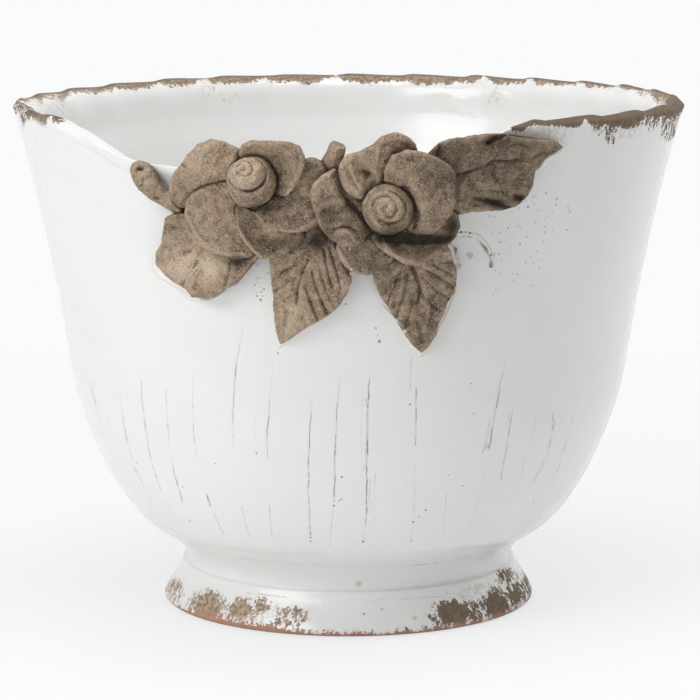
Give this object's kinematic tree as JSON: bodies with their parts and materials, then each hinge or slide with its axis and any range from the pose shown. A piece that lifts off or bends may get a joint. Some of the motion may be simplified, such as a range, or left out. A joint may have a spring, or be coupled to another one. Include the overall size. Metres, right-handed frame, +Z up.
{
  "type": "planter pot",
  "caption": "Footed earthenware planter bowl with a wavy rim let down at the front, where clay flowers and leaves are applied.",
  "frame": {"origin": "middle of the part's box at the base of the foot", "axes": "+Z up, the clay flowers face -Y, +X to the right seen from the front"},
  "size_m": [0.328, 0.3546, 0.251],
  "materials": {
    "glaze": "glossy white glaze over brown earthenware, worn brown at rim and foot, with fine vertical crackle lines",
    "bare_clay": "unglazed sandy brown fired clay, matte, with pale grit and dark creases"
  },
  "bodies": {
    "root": {"bowl": "glaze", "foot_ring": "glaze", "rose_right_centre": "bare_clay", "rose_left_centre": "bare_clay", "rose_right_petal_right": "bare_clay", "rose_right_petal_top": "bare_clay", "rose_right_petal_left": "bare_clay", "rose_right_petal_lower_right": "bare_clay", "rose_right_petal_lower_left": "bare_clay", "rose_left_petal_top": "bare_clay", "rose_left_petal_right": "bare_clay", "rose_left_petal_bottom": "bare_clay", "rose_left_petal_lower_left": "bare_clay", "rose_left_petal_top_left": "bare_clay", "bud_stem": "bare_clay", "twig_stub": "bare_clay", "leaf_right": "bare_clay", "leaf_lower_right": "bare_clay", "leaf_middle": "bare_clay", "leaf_left": "bare_clay"}
  },
  "joints": []
}
